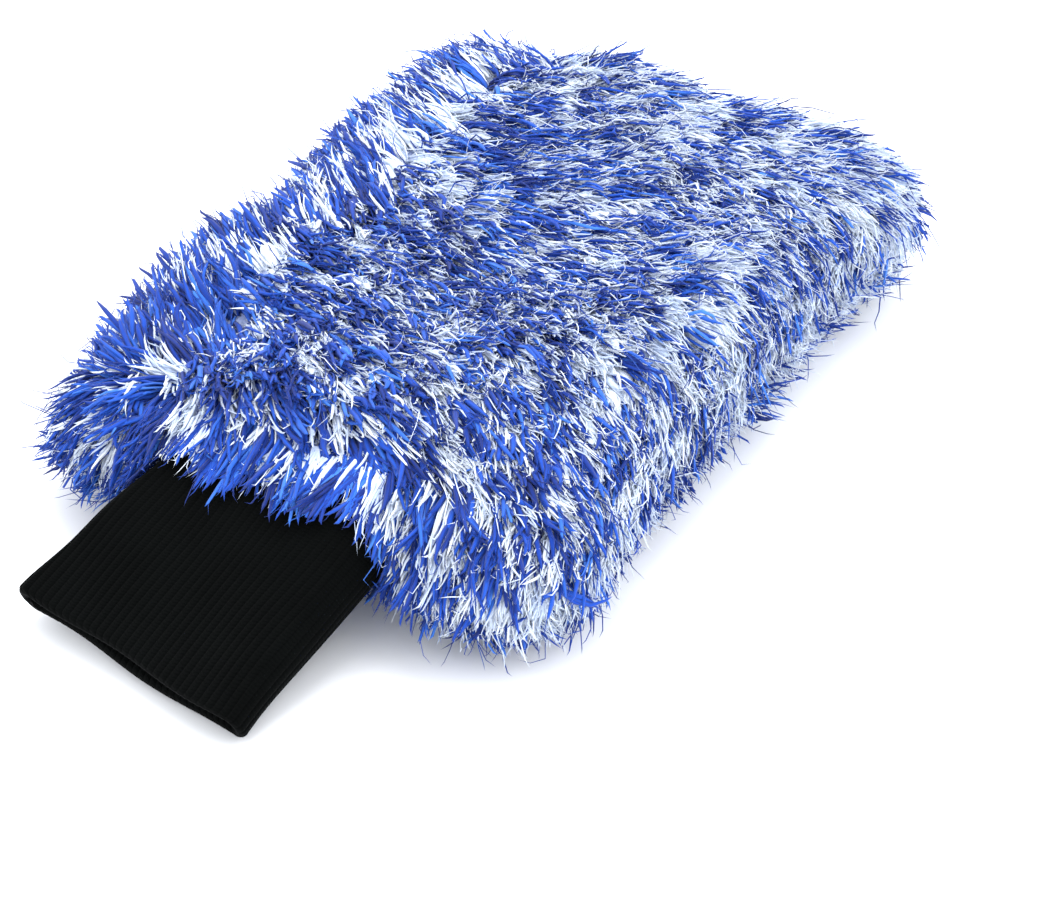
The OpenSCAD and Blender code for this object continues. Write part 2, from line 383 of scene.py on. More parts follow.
def drape(p):
    """The slack shape of the mitt: thinner towards its corners, dented beside the cuff, a little lumpy."""
    x, y, z = p.T
    cornered = ramp(np.abs(x), 0.045, CORE_X + 0.012) * ramp(np.abs(y), 0.018, CORE_Y + 0.012)
    under = MID_Z - CLOTH_R
    upper = ramp(z, MID_Z - 0.004, MID_Z + 0.012)
    dent = 0.009 * pucker(p)
    dip = 0.0025 * np.exp(-((x + 0.02) ** 2 + (y - 0.01) ** 2) / 0.004)
    thin = np.where(x < 0, 0.26, 0.14) * cornered
    high = under + (z - under) * (1 - thin) - upper * (dent + dip - 0.0016 * LUMPS(p))
    grow = 1 + np.where(x < 0, 0.055, 0.07) * cornered
    return np.stack([x * grow, y * grow, high], 1)


def slab_grid(radius):
    """Quad mesh of a slab with fully rounded sides: (vertices, faces, faces of the upper half)."""
    half = np.array([CORE_X + radius * 0.9, CORE_Y + radius * 0.9, radius * 0.9])
    n = 2 * np.maximum(np.round(half / CELL).astype(int), 2)
    index, vertices, faces = {}, [], []

    def vertex(key):
        if key not in index:
            index[key] = len(vertices)
            vertices.append([-half[a] + 2 * half[a] * key[a] / n[a] for a in range(3)])
        return index[key]

    for axis in range(3):
        u, v = (axis + 1) % 3, (axis + 2) % 3
        for end in (0, 1):
            for i in range(n[u]):
                for j in range(n[v]):
                    corners = []
                    for du, dv in ((0, 0), (1, 0), (1, 1), (0, 1)):
                        key = [0, 0, 0]
                        key[axis], key[u], key[v] = end * n[axis], i + du, j + dv
                        corners.append(vertex(tuple(key)))
                    faces.append(corners if end else corners[::-1])
    p, faces = np.array(vertices), np.array(faces)
    p[:, 2] += MID_Z
    core = nearest_core(p)
    p = core + unit(p - core) * radius
    return p, faces, p[faces, 2].mean(1) > MID_Z


def stadium(angle, half_width, half_height):
    """Outline of a flattened tube: straight top and bottom joined by half circles."""
    flat = half_width - half_height
    across = flat * np.clip(1.8 * np.cos(angle), -1, 1) + half_height * np.cos(angle)
    return across, half_height * np.sin(angle)


def open_mouth(p, faces, rim_at):
    """Cuts the wrist opening out of a layer's near end and draws its rim to rim_at: (p, kept faces, rim).
    rim_at is the rim's (x, half width, half height)."""
    thick = p[:, 2].max() - MID_Z
    centre = p[faces].mean(1)
    across, up = centre[:, 1] / MOUTH_HALF, (centre[:, 2] - MID_Z) / (0.62 * thick)
    hole = (across**2 + up**2 < 1) & (centre[:, 0] < -CORE_X)
    kept = faces[~hole]
    edges = np.sort(np.stack([kept, np.roll(kept, -1, 1)], -1).reshape(-1, 2), 1)
    edges, uses = np.unique(edges, axis=0, return_counts=True)
    rim = np.unique(edges[uses == 1])
    angle = np.arctan2((p[rim, 2] - MID_Z) / 0.013, p[rim, 1] / 0.041)
    y, z = stadium(angle, rim_at[1], rim_at[2])
    p = p.copy()
    p[rim] = np.stack([np.full(len(rim), rim_at[0]), y, MID_Z + z], 1)
    return p, ~hole, rim


PUFF_FRAMES, PUFF_CAP = 18, 0.003  # steps of the simulation, and the furthest that a point may move


def puffed(p, faces, rim):
    """The ground cloth blown up softly round its padding by a cloth simulation, held at the wrist."""
    used = np.unique(faces)
    ob = quad_mesh("cloth_sim", p, faces)
    pin = ob.vertex_groups.new(name="pin")
    pin.add(np.searchsorted(used, rim).tolist(), 1.0, "REPLACE")
    cloth = ob.modifiers.new("cloth", "CLOTH")
    s = cloth.settings
    s.use_pressure = True
    s.uniform_pressure_force = 3.0
    s.vertex_group_mass = "pin"
    s.effector_weights.gravity = 0
    s.tension_stiffness = s.compression_stiffness = 12
    s.bending_stiffness = 1.5
    s.mass = 0.2
    cloth.point_cache.frame_end = PUFF_FRAMES
    scene = bpy.context.scene
    for f in range(1, PUFF_FRAMES + 1):
        scene.frame_set(f)
    moved = np.empty(3 * len(used), np.float32)
    evaluated = ob.evaluated_get(bpy.context.evaluated_depsgraph_get())
    evaluated.data.vertices.foreach_get("co", moved)
    move = moved.reshape(-1, 3) - p[used]
    length = np.linalg.norm(move, axis=1, keepdims=True)
    bpy.data.objects.remove(ob)
    scene.frame_set(1)
    p = p.copy()
    p[used] += move * np.minimum(1, PUFF_CAP / np.maximum(length, 1e-9))
    return p


def vertex_normals(p, faces):
    face_normal = np.cross(p[faces[:, 2]] - p[faces[:, 0]], p[faces[:, 3]] - p[faces[:, 1]])
    out = np.zeros_like(p)
    for i in range(4):
        np.add.at(out, faces[:, i], face_normal)
    return unit(out)


def nearest(points, wanted):
    """Index of the point nearest to each wanted place."""
    tree = KDTree(len(points))
    for i, q in enumerate(points):
        tree.insert(q, i)
    tree.balance()
    return np.array([tree.find(q)[1] for q in wanted])


class Mitt:
    """The ground cloth's final shape, and how far it moved, so that inner layers can follow it."""

    def __init__(self):
        p, faces, upper = slab_grid(CLOTH_R)
        rim_at = (NECK_X, NECK_WIDTH / 2 - 0.001, NECK_HEIGHT / 2 - 0.001)
        self.rest, kept, rim = open_mouth(drape(p), faces, rim_at)
        self.faces, self.upper = faces[kept], upper[kept]
        self.p = puffed(self.rest, self.faces, rim)

    def follow(self, p):
        """Moves points of an inner layer as the ground cloth beside them moved."""
        return p + (self.p - self.rest)[nearest(self.rest, p)]

    def layer(self, radius, rim_at):
        """An inner layer, `radius` from the core, open at the wrist: (points, faces, upper faces)."""
        p, faces, upper = slab_grid(radius)
        p, kept, _ = open_mouth(drape(p), faces, rim_at)
        return self.follow(p), faces[kept], upper[kept]


# ---- cuff ----------------------------------------------------------------------------------


def cuff_size(s):
    """Half width, half height and middle height of the slack tube at distance s from the bend line."""
    t = smooth(s / CUFF_LENGTH)
    half_width = (NECK_WIDTH + (HEM_WIDTH - NECK_WIDTH) * t) / 2
    room = (NECK_HEIGHT + (HEM_HEIGHT - NECK_HEIGHT) * t) / 2
    half_height = (NECK_HEIGHT + (HEM_SLACK - NECK_HEIGHT) * t) / 2
    return half_width, half_height, half_height - room


def cuff_lean(s):
    return HEM_LEAN * smooth(s / CUFF_LENGTH)


def from_cuff(local):
    """Points in the cuff's own frame, tube along -X from the bend line, put in the row frame."""
    c, s = math.cos(CUFF_DROOP), math.sin(CUFF_DROOP)
    x, y, z = local.T
    return np.stack([x * c - z * s, y, x * s + z * c], 1) + HINGE


def to_cuff(p):
    c, s = math.cos(CUFF_DROOP), math.sin(CUFF_DROOP)
    x, y, z = (p - HINGE).T
    return np.stack([x * c + z * s, y, -x * s + z * c], 1)


def clear_of_cuff(p, gap, above):
    """Pushes points that would be inside the cuff's tube out of its side, or out of its top where `above`."""
    q = to_cuff(p)
    s = -q[:, 0]
    half_width, h, middle = cuff_size(s)
    h, w = h + gap, half_width + gap
    y, z = q[:, 1] - cuff_lean(s), q[:, 2] - middle
    near = np.clip(y, -(w - h), w - h)
    dy = y - near
    r = np.maximum(np.hypot(dy, z), 1e-6)
    inside = (s > -0.002) & (s < CUFF_LENGTH + 0.002) & (r < h)
    push = np.where(inside, h / r, 1.0)
    flat = inside & (np.abs(dy) < 1e-5)
    z = np.where(flat, np.where(above, h, -h), z * push)
    out = from_cuff(np.stack([q[:, 0], near + dy * push + cuff_lean(s), z + middle], 1))
    return np.where(inside[:, None], out, p)


def cuff_outline(s, depth, around):
    """Even steps round the tube at one distance: (points across, outward directions, places round)."""
    half_width, half_height, middle = cuff_size(max(s, 0))
    a = np.linspace(0, 2 * math.pi, 1201)
    y, z = stadium(a, half_width - depth, half_height - depth)
    sunk = smooth(s / CUFF_LENGTH) * np.clip(1 - ((y - 0.006) / (half_width - 0.004)) ** 2, 0, 1)
    z = z - 0.0028 * sunk * ramp(z, -0.001, 0.003) + 0.0006 * sunk * ramp(-z, -0.001, 0.003)
    length = np.concatenate([[0], np.cumsum(np.hypot(np.diff(y), np.diff(z)))])
    at = np.linspace(0, length[-1], around + 1)
    y, z = np.interp(at, length, y), np.interp(at, length, z)
    dy, dz = np.gradient(y), np.gradient(z)
    out = unit(np.stack([dz, -dy], 1))
    return y + cuff_lean(max(s, 0)), z + middle, out


def rib_tube():
    """Double rib tube turned back on itself at the hem: (vertices, faces, uv)."""
    per_wale, along, fold = 10, 64, 8
    around = WALES * per_wale
    turn = DOUBLE_RIB / 2
    runs = np.linspace(-0.004, CUFF_LENGTH - turn, along)
    bend = math.pi * np.arange(1, fold) / fold
    rows = [(s, 0.0, 1.0) for s in runs]
    rows += [(runs[-1] + turn * math.sin(b), turn - turn * math.cos(b), math.cos(b)) for b in bend]
    rows += [(s, DOUBLE_RIB, -1.0) for s in runs[::-1]]
    u = np.arange(around + 1) / around
    ridge = np.sqrt(np.abs(np.sin(math.pi * WALES * u))) - 0.5
    lean = Waves(0.045, 31)
    vertices = []
    for s, depth, face in rows:
        y, z, out = cuff_outline(s, depth, around)
        t = smooth(s / CUFF_LENGTH)
        wavy = 0.0007 * t * np.sin(2 * math.pi * (3 * u + 0.1))
        s_here = s * (1 - HEM_SKEW * t * y / (HEM_WIDTH / 2)) + wavy
        rib = ridge * (0.00030 + 0.00024 * t) * face
        p = np.stack([-s_here, y, z], 1)
        rib = rib + 0.0005 * lean(p)
        p[:, 1:] += out * rib[:, None]
        vertices.append(p)
    vertices = np.array(vertices)
    vertices[:, -1] = vertices[:, 0]
    n = len(rows)
    step = np.linalg.norm(np.diff(vertices[:, around // 4], axis=0), axis=1)
    v = np.concatenate([[0], np.cumsum(step)])
    v = v / v[-1]
    i, j = np.meshgrid(np.arange(n - 1), np.arange(around), indexing="ij")
    corner = [(i, j), (i, j + 1), (i + 1, j + 1), (i + 1, j)]
    faces = np.stack([(a * around + b % around) for a, b in corner], -1).reshape(-1, 4)
    uv = np.stack([np.stack([u[b], v[a]], -1) for a, b in corner], 2).reshape(-1, 2)
    return from_cuff(vertices[:, :-1].reshape(-1, 3)), faces, uv


# ---- seams, bands and stitches -------------------------------------------------------------


def resampled(path, step):
    """The same path with points every `step` metres or so."""
    length = np.concatenate([[0], np.cumsum(np.linalg.norm(np.diff(path, axis=0), axis=1))])
    at = np.linspace(0, length[-1], max(4, round(length[-1] / step)))
    return np.stack([np.interp(at, length, path[:, i]) for i in range(3)], 1)


def side_path(r, step=0.003):
    """Path round the body's sides at distance r from the core, from one side of the mouth to the other."""
    turn, x, y = CORE_CORNER + r, CORE_X - CORE_CORNER, CORE_Y - CORE_CORNER
    arcs = ((-x, y, 180), (x, y, 90), (x, -y, 0), (-x, -y, -90))
    points = [(-CORE_X - r, MOUTH_HALF)]
    for cx, cy, start in arcs:
        for a in np.radians(np.linspace(start, start - 90, 9)):
            points.append((cx + turn * math.cos(a), cy + turn * math.sin(a)))
    points.append((-CORE_X - r, -MOUTH_HALF))
    return resampled(np.array([(px, py, MID_Z) for px, py in points]), step)


def neck_path(inset, s, step=0.002):
    """Closed path round the flattened neck, `inset` inside the cuff's outer face."""
    a = np.linspace(0, 2 * math.pi, 400)
    y, z = stadium(a, NECK_WIDTH / 2 - inset, NECK_HEIGHT / 2 - inset)
    return resampled(from_cuff(np.stack([np.full(len(a), -s), y, z], 1)), step)


def frames(path, up, closed):
    """Direction along a path, outward to its left side, and up, at each point."""
    wrapped = np.concatenate([path[-2:-1], path, path[1:2]]) if closed else path
    way = np.gradient(wrapped, axis=0)
    way = unit(way[1:-1] if closed else way)
    out = unit(np.cross(way, up))
    return way, out, np.cross(out, way)


def band(path, up, profile, closed=False):
    """A closed profile of (out, up) pairs swept along a path: (vertices, faces, uv)."""
    _, out, top = frames(path, up, closed)
    n, m = len(path), len(profile)
    vertices = path[:, None] + out[:, None] * profile[None, :, :1] + top[:, None] * profile[None, :, 1:]
    i, j = np.meshgrid(np.arange(n - 1), np.arange(m), indexing="ij")
    corner = [(i, j), (i + 1, j), (i + 1, j + 1), (i, j + 1)]
    faces = np.stack([a * m + b % m for a, b in corner], -1).reshape(-1, 4)
    uv = np.stack([np.stack([b / m, a / (n - 1)], -1) for a, b in corner], 2).reshape(-1, 2)
    vertices = vertices.reshape(-1, 3)
    if closed:
        faces = np.where(faces >= (n - 1) * m, faces - (n - 1) * m, faces)
    else:
        half = m // 2
        for start in (0, (n - 1) * m):
            for k in range(half - 1):
                quad = [start + k, start + k + 1, start + m - 2 - k, start + m - 1 - k]
                faces = np.concatenate([faces, [quad if start else quad[::-1]]])
                uv = np.concatenate([uv, np.full((4, 2), 0.5)])
    return vertices, faces, uv


def rounded(width, height, count):
    """Closed (out, up) profile of a strip with soft edges, with `count` points."""
    a = 2 * math.pi * (np.arange(count) + 0.5) / count
    c, s = np.cos(a), np.sin(a)
    box = np.stack([np.sign(c) * np.abs(c) ** 0.5, np.sign(s) * np.abs(s) ** 0.35], 1)
    return box * np.array([width / 2, height / 2])


STITCH_TAPER = np.array([0.25, 0.75, 1.0, 1.0, 0.75, 0.25])


def stitches(path, up, pitch, radius, arch, slant, rng, closed=False):
    """A row of thread stitches along a path, each arching out of the cloth: (vertices, triangles, uv)."""
    at = resampled(path, pitch)
    way, out, top = frames(at, up, closed)
    t = np.linspace(-0.5, 0.5, len(STITCH_TAPER))
    lift = np.cos(t * math.pi) * arch
    slope = slant * rng.uniform(0.8, 1.2, len(at))
    paths = at[:, None] + way[:, None] * (t * pitch * 0.92)[None, :, None]
    paths = paths + out[:, None] * lift[None, :, None] + top[:, None] * (slope[:, None] * t[None])[..., None]
    size = radius * rng.uniform(0.92, 1.08, len(at))
    shade = rng.integers(0, BANDS, len(at))
    return tubes(paths, size, size, STITCH_TAPER, 6, out, 0.0, shade, rng)


def overlock(path, up, pitch, radius, half_width, half_height, rng):
    """Thread wound round and round a seam edge, as an overlock stitch does: (vertices, triangles, uv)."""
    at = resampled(path, pitch / 8)
    _, out, top = frames(at, up, False)
    turn = 2 * math.pi * np.arange(len(at)) / 8
    ring = out * (np.cos(turn) * half_width)[:, None] + top * (np.sin(turn) * half_height)[:, None]
    line = at + ring
    size = np.array([radius])
    taper = np.ones(len(line))
    taper[0] = 0.3
    return tubes(line[None], size, size, taper, 6, unit(out[:1] + 0.3), 0.0, np.array([5]), rng)


# ---- pile ----------------------------------------------------------------------------------

PILE_STEPS = np.array([1, 1, 1, 1, 1, 0.45]) / 5.45  # the last one short, for a blunt tip
PILE_POINTS = len(PILE_STEPS) + 1
LOCKS_EACH = {"blue": 1080, "white": 550}  # most locks in one piece, for under 200,000 triangles
BLUES = [linear(*c) for c in ((4, 36, 112), (8, 50, 141), (15, 64, 165), (27, 82, 186), (60, 118, 212))]
WHITES = [linear(*c) for c in ((202, 219, 247), (215, 229, 251), (226, 237, 253), (238, 246, 255))]
WIDE = Waves(0.09, 11)
COLOUR_PATCHES = Waves(0.014, 16)


def scatter(p, faces, spacing, rng):
    """Evenly scattered points on a quad mesh, as (points, normals, index of the face)."""
    normals = vertex_normals(p, faces)
    triangles = np.concatenate([faces[:, [0, 1, 2]], faces[:, [0, 2, 3]]])
    a, b, c = (p[triangles[:, i]] for i in range(3))
    area = np.linalg.norm(np.cross(b - a, c - a), axis=1) / 2
    wanted = int(area.sum() / spacing**2 * 6)
    pick = rng.choice(len(triangles), wanted, p=area / area.sum())
    u, v = rng.random(wanted), rng.random(wanted)
    flip = u + v > 1
    u, v = np.where(flip, 1 - u, u)[:, None], np.where(flip, 1 - v, v)[:, None]
    t = triangles[pick]
    points = p[t[:, 0]] * (1 - u - v) + p[t[:, 1]] * u + p[t[:, 2]] * v
    n = unit(normals[t[:, 0]] * (1 - u - v) + normals[t[:, 1]] * u + normals[t[:, 2]] * v)
    cells = np.floor(points / spacing * 1.25).astype(int)
    _, first = np.unique(cells, axis=0, return_index=True)
    first = np.sort(first)
    return points[first], n[first], pick[first] % len(faces)


def lay_direction(p, n, way):
    """The way the pile is brushed at each root: across on top, over and down at the edges.
    way is 1 where the top's pile lies towards +Y, and -1 where it lies towards -Y."""
    x, y = np.clip(p[:, 0] / CORE_X, -1.2, 1.2), p[:, 1] / CORE_Y
    fan = 0.40 * x - 0.42 + 0.25 * WIDE(p)
    flat = np.zeros(len(p))
    outward = unit(p * [1.0, 1.0, 0])
    top = unit(np.stack([-way * fan, way, flat], 1))
    end = ramp(np.abs(p[:, 0]), CORE_X + 0.003, CORE_X + 0.014)[:, None]
    top = top * (1 - 0.8 * end) + np.stack([np.sign(x), 0.25 * way, flat], 1) * end
    near_side = ramp(-y, 0.6, 1.0) * ramp(CORE_X - np.abs(p[:, 0]), -0.01, 0.02)
    side = np.stack([-near_side, flat, 0.92 * near_side - 1.0], 1) + 0.35 * outward
    up = ramp(n[:, 2], 0.15, 0.75)[:, None]
    down = ramp(-n[:, 2], 0.3, 0.8)[:, None]
    v = unit(top * up + outward * down + side * (1 - up - down))
    wrist = (ramp(-p[:, 0], CORE_X + 0.006, CORE_X + 0.013) * ramp(-np.abs(p[:, 1]), -0.056, -0.040))[:, None]
    v = v * (1 - wrist) + np.array([-1.0, 0, -0.35]) * wrist
    return in_surface(v, n)


def in_surface(v, n):
    return unit(v - (v * n).sum(1, keepdims=True) * n)


def lock_paths(p, n, lay, length, rise, fall, curl, sag):
    """Centre lines of locks: each rises from its root and lays over: (locks, points, xyz)."""
    side = np.cross(n, lay)
    at, path = p.copy(), [p.copy()]
    for j, step in enumerate(PILE_STEPS):
        t = (j + 0.5) / (PILE_POINTS - 1)
        lean = rise + (fall - rise) * t**0.6
        way = n * np.cos(lean)[:, None] + lay * np.sin(lean)[:, None]
        way = way + side * (curl * (t - 0.25))[:, None] + np.array([0, 0, -1.0]) * (sag * t)[:, None]
        at = at + unit(way) * (length * step)[:, None]
        path.append(at.copy())
    return np.stack(path, 1)


def settle(path, low):
    """Keeps strands above the surface the mitt lies on, by more than `low`, and off the cuff."""
    q = path.reshape(-1, 3).copy()
    high = low + 0.004
    under = q[:, 2] < high
    q[under, 2] = low + (high - low) * np.exp((q[under, 2] - high) / (high - low))
    above = np.repeat(path[:, 0, 2] > MID_Z - 0.003, path.shape[1])
    return clear_of_cuff(q, low + 0.0014, above).reshape(path.shape)


def strands_of(path, per_lock, reach, spread, fray, shorter, rng):
    """Splits locks into strands side by side, with tips that part: the paths, and each one's lock."""
    owner = np.repeat(np.arange(len(path)), per_lock)
    count = len(owner)
    base = path[owner]
    way = unit(np.gradient(base, axis=1))
    side = unit(np.cross(way, unit(rng.normal(size=(count, 1, 3)))))
    t = np.linspace(0, 1, PILE_POINTS)[None, :, None]
    off = side * (np.sqrt(rng.random(count)) * reach[owner])[:, None, None] * (1 + spread * t)
    wave = rng.normal(size=(count, 1, 3)) * fray * t**1.6
    ripple = rng.normal(size=(count, 1, 3)) * fray * 0.5
    ripple = ripple * np.sin(t * math.pi * rng.uniform(1, 3, (count, 1, 1)))
    size = rng.uniform(*shorter, (count, 1, 1))
    return base[:, :1] + (base - base[:, :1]) * size + off + wave + ripple, owner


TUFT_TAPER = np.array([0.5, 0.85, 1.0, 1.0, 0.8, 0.42, 0.0])
YARN_TAPER = np.array([0.6, 0.85, 1.0, 1.0, 0.88, 0.55, 0.0])
HAIR_TAPER = np.array([1.0, 1.0, 1.0, 0.9, 0.8, 0.6, 0.0])
# half widths of the strands, the yarns' and hairs' as (least, most)
CORE, CORE_OVER_CUFF = 0.0017, 0.0006
WHITE_YARN, WHITE_HAIR = (0.00035, 0.00070), (0.00018, 0.00030)
BLUE_YARN, BLUE_HAIR = (0.00050, 0.00100), (0.00016, 0.00028)
HANGING_YARNS = 3  # more in each lock that hangs over the cuff


def white_tufts(path, n, tone, rng, yarns_each):
    """Soft bundles of white fibre: a thick core in fine yarns, with a few loose hairs."""
    count = len(path)
    size = rng.uniform(0.8, 1.2, count)
    bands = np.clip((tone - 0.1 + rng.normal(size=count) * 0.10) * BANDS, 0, BANDS - 1).astype(int)
    core = settle(path[:, :1] + (path - path[:, :1]) * 0.8, 0.0012)
    thick = size * np.where(path[:, 0, 0] < WRIST_X + 0.002, CORE_OVER_CUFF, CORE)
    parts = [tubes(core, thick, 0.65 * thick, TUFT_TAPER, 6, n, 0.2, bands, rng)]
    yarns, owner = strands_of(path, yarns_each, 0.0023 * size, 0.0, 0.0013, (0.72, 1.0), rng)
    yarns = settle(yarns, 0.0005)
    wide = rng.uniform(*WHITE_YARN, len(owner))
    bands = np.clip((tone[owner] + rng.normal(size=len(owner)) * 0.18) * BANDS, 0, BANDS - 1).astype(int)
    parts.append(tubes(yarns, wide, wide * 0.7, YARN_TAPER, 3, n[owner], 0.1, bands, rng))
    hairs, owner = strands_of(path, 2, 0.0022 * size, 0.3, 0.0024, (0.85, 1.1), rng)
    hairs = settle(hairs, 0.0004)
    thick = rng.uniform(*WHITE_HAIR, len(owner))
    bands = np.clip((tone[owner] + 0.3) * BANDS, 0, BANDS - 1).astype(int)
    parts.append(tubes(hairs, thick, thick * 0.7, HAIR_TAPER, 3, n[owner], 0.0, bands, rng))
    return joined(parts)


def blue_yarns(path, n, tone, rng, yarns_each):
    """Flat pointed yarns side by side, with one stray hair."""
    yarns, owner = strands_of(path, yarns_each, np.full(len(path), 0.0015), -0.3, 0.0014, (0.70, 1.0), rng)
    yarns = settle(yarns, 0.0007)
    wide = rng.uniform(*BLUE_YARN, len(owner))
    bands = np.clip((tone[owner] + rng.normal(size=len(owner)) * 0.14) * BANDS, 0, BANDS - 1).astype(int)
    parts = [tubes(yarns, wide, wide * 0.55, YARN_TAPER, 4, n[owner], 0.10, bands, rng)]
    hairs, owner = strands_of(path, 1, np.full(len(path), 0.0016), 0.8, 0.0028, (0.85, 1.1), rng)
    hairs = settle(hairs, 0.0004)
    thick = rng.uniform(*BLUE_HAIR, len(owner))
    bands = np.clip((tone[owner] - 0.1) * BANDS, 0, BANDS - 1).astype(int)
    parts.append(tubes(hairs, thick, thick, HAIR_TAPER, 3, n[owner], 0.0, bands, rng))
    return joined(parts)


CLUMP_APART, LOCKS_APART = 0.0072, 0.0029  # locks lean together in clumps


def blue_share(p, upward):
    """Share of blue locks at each root: as mixed in the photo, whiter at the right and the near side."""
    far_right = ramp(p[:, 0] - 0.4 * p[:, 1], 0.0, 0.11)
    near_side = ramp(-p[:, 1] / CORE_Y, 0.35, 1.0)
    edge = 0.07 * ramp(p[:, 1] / CORE_Y, 0.5, 1.0) + 0.03 * ramp(-p[:, 0] / CORE_X, 0.86, 1.0)
    # the 0.30 * pucker term bunches blue locks into the dent beside the cuff, as painted shade that darkens
    # it
    return 0.43 + 0.13 * upward - 0.13 * far_right - 0.14 * near_side + edge + 0.30 * pucker(p)


def grow_pile(mitt, rng):
    """The pile as pieces, by panel and colour, and apart over the wrist: [(panel, over_wrist, object)]."""
    clump, clump_n, _ = scatter(mitt.p, mitt.faces, CLUMP_APART, rng)
    clump_up = ramp(clump_n[:, 2], 0.1, 0.8)[:, None]
    clump_way = np.where(rng.random(len(clump)) < ramp(clump[:, 1] / CORE_Y, 0.45, 1.15), 1.0, -1.0)
    astray = rng.normal(size=(len(clump), 3)) * (0.36 - 0.20 * clump_up)
    clump_lay = in_surface(lay_direction(clump, clump_n, clump_way) + astray, clump_n)
    roots, n, face = scatter(mitt.p, mitt.faces, LOCKS_APART, rng)
    home = nearest(clump, roots)
    count = len(roots)
    upward = ramp(n[:, 2], 0.1, 0.8)
    own = rng.normal(size=roots.shape) * (0.24 - 0.14 * upward)[:, None]
    lay = in_surface(lay_direction(roots, n, clump_way[home]) * 0.6 + clump_lay[home] * 0.7 + own, n)
    share = blue_share(roots, upward)
    blue = 0.35 * COLOUR_PATCHES(roots) + rng.normal(size=count) * 0.8 < (share - 0.5) * 2.3
    clump_rise = rng.uniform(-0.18, 0.22, len(clump))[home]
    rise = rng.uniform(0.45, 0.85, count) + clump_rise + 0.36 * upward - 0.10 * blue
    fall = rng.uniform(1.42, 1.62, count) * upward + rng.uniform(0.95, 1.45, count) * (1 - upward)
    fall = fall + 0.3 * clump_rise + 0.2 * ramp(-n[:, 1], 0.5, 0.9) - 0.3 * ramp(-n[:, 0], 0.5, 0.9)
    length = np.where(blue, rng.uniform(0.018, 0.025, count), rng.uniform(0.014, 0.020, count))
    wrist = (roots[:, 0] < WRIST_X) & (np.abs(roots[:, 1]) < WRIST_Y)
    length = np.where(wrist & (n[:, 2] > 0), length + 0.007, length)
    rise = np.where(wrist, rise + 0.25, rise)
    curl = rng.normal(size=count) * (0.75 - 0.35 * upward)
    sag = rng.uniform(0.05, 0.40, count) * (1 - 0.6 * upward)
    path = lock_paths(roots, n, lay, length, rise, fall, curl, sag)
    length, rise, fall, curl, sag = (np.full(len(clump), v) for v in (0.018, 0.45, 1.3, 0.0, 0.15))
    mean_path = lock_paths(clump, clump_n, clump_lay, length, rise, fall, curl, sag)
    t = np.linspace(0, 1, PILE_POINTS)[None, :, None]
    pull = np.where(blue, 0.18, 0.38)[:, None, None]
    path = path + (mean_path[home][:, -1:] - path[:, -1:]) * pull * t**2
    tone = np.clip(0.5 + 0.16 * COLOUR_PATCHES(roots + 0.3) + rng.normal(size=count) * 0.16, 0, 1)
    # the fourth value is the painted shade at the root: blue strands darken to 0.8 there, white ones keep
    # their colour
    blue_fibre = pile_material("blue_pile", BLUES, 0.10, 0.80, (0.55, 0.75))
    white_fibre = pile_material("white_pile", WHITES, 0.20, 1.0, (0.80, 0.98))
    kinds = (
        ("back", "blue", blue, blue_yarns, 3, blue_fibre),
        ("back", "white", ~blue, white_tufts, 6, white_fibre),
        ("palm", "blue", blue, blue_yarns, 3, blue_fibre),
        ("palm", "white", ~blue, white_tufts, 4, white_fibre),
    )
    pieces = []
    for panel, colour, of_colour, build, yarns_each, material in kinds:
        chosen = of_colour & (mitt.upper[face] == (panel == "back"))
        for over_wrist in (False, True):
            locks = np.flatnonzero(chosen & (wrist == over_wrist))
            locks = locks[np.argsort(roots[locks, 0], kind="stable")]
            for i, part in enumerate(np.array_split(locks, math.ceil(len(locks) / LOCKS_EACH[colour]))):
                where = "wrist" if over_wrist else str(i + 1)
                mesh = build(path[part], n[part], tone[part], rng, yarns_each + HANGING_YARNS * over_wrist)
                ob = triangle_mesh(f"{panel}_pile_{colour}_{where}", *mesh)
                ob.data.materials.append(material)
                pieces.append((panel, over_wrist, ob))
    return pieces


# ---- building ------------------------------------------------------------------------------


def bend_at_wrist(ob):
    """Fabric that crosses the wrist, from the mitt to the cuff: its transform is applied to its mesh."""
    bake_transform(ob)


def thickened(ob, thickness):
    """Gives a sheet its thickness, inwards from its outer face."""
    solid = ob.modifiers.new("thickness", "SOLIDIFY")
    solid.thickness, solid.offset = thickness, -1


def make_pile(mitt, rng):
    for panel, wrist, ob in grow_pile(mitt, rng):
        if wrist:
            bend_at_wrist(ob)
        else:
            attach(ob, "mitt")
        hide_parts(f"{panel}_pile")


def make_layers(mitt):
    cloth = cloth_material("ground_cloth", [linear(120, 140, 196), linear(196, 208, 236)], 900.0, 0.0003)
    wadding = wadding_material("wadding", [linear(196, 200, 206), linear(238, 240, 243)])
    lining = cloth_material("lining", [linear(196, 204, 222), linear(232, 237, 247)], 1400.0, 0.0002)
    padding_rim, lining_rim = (NECK_X + 0.012, 0.036, 0.0120), (NECK_X + 0.004, 0.0325, 0.0078)
    kinds = (
        ("ground_cloth", (mitt.p, mitt.faces, mitt.upper), cloth, CLOTH_THICK),
        ("padding", mitt.layer(PADDING_R, padding_rim), wadding, PADDING_THICK),
        ("lining", mitt.layer(LINING_R, lining_rim), lining, LINING_THICK),
    )
    for name, (p, faces, upper), material, thickness in kinds:
        for panel, chosen in (("back", upper), ("palm", ~upper)):
            ob = quad_mesh(f"{panel}_{name}_sheet", p, faces[chosen])
            ob.data.materials.append(material)
            bend_at_wrist(ob)
            thickened(ob, thickness)
            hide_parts(f"{panel}_{name}")


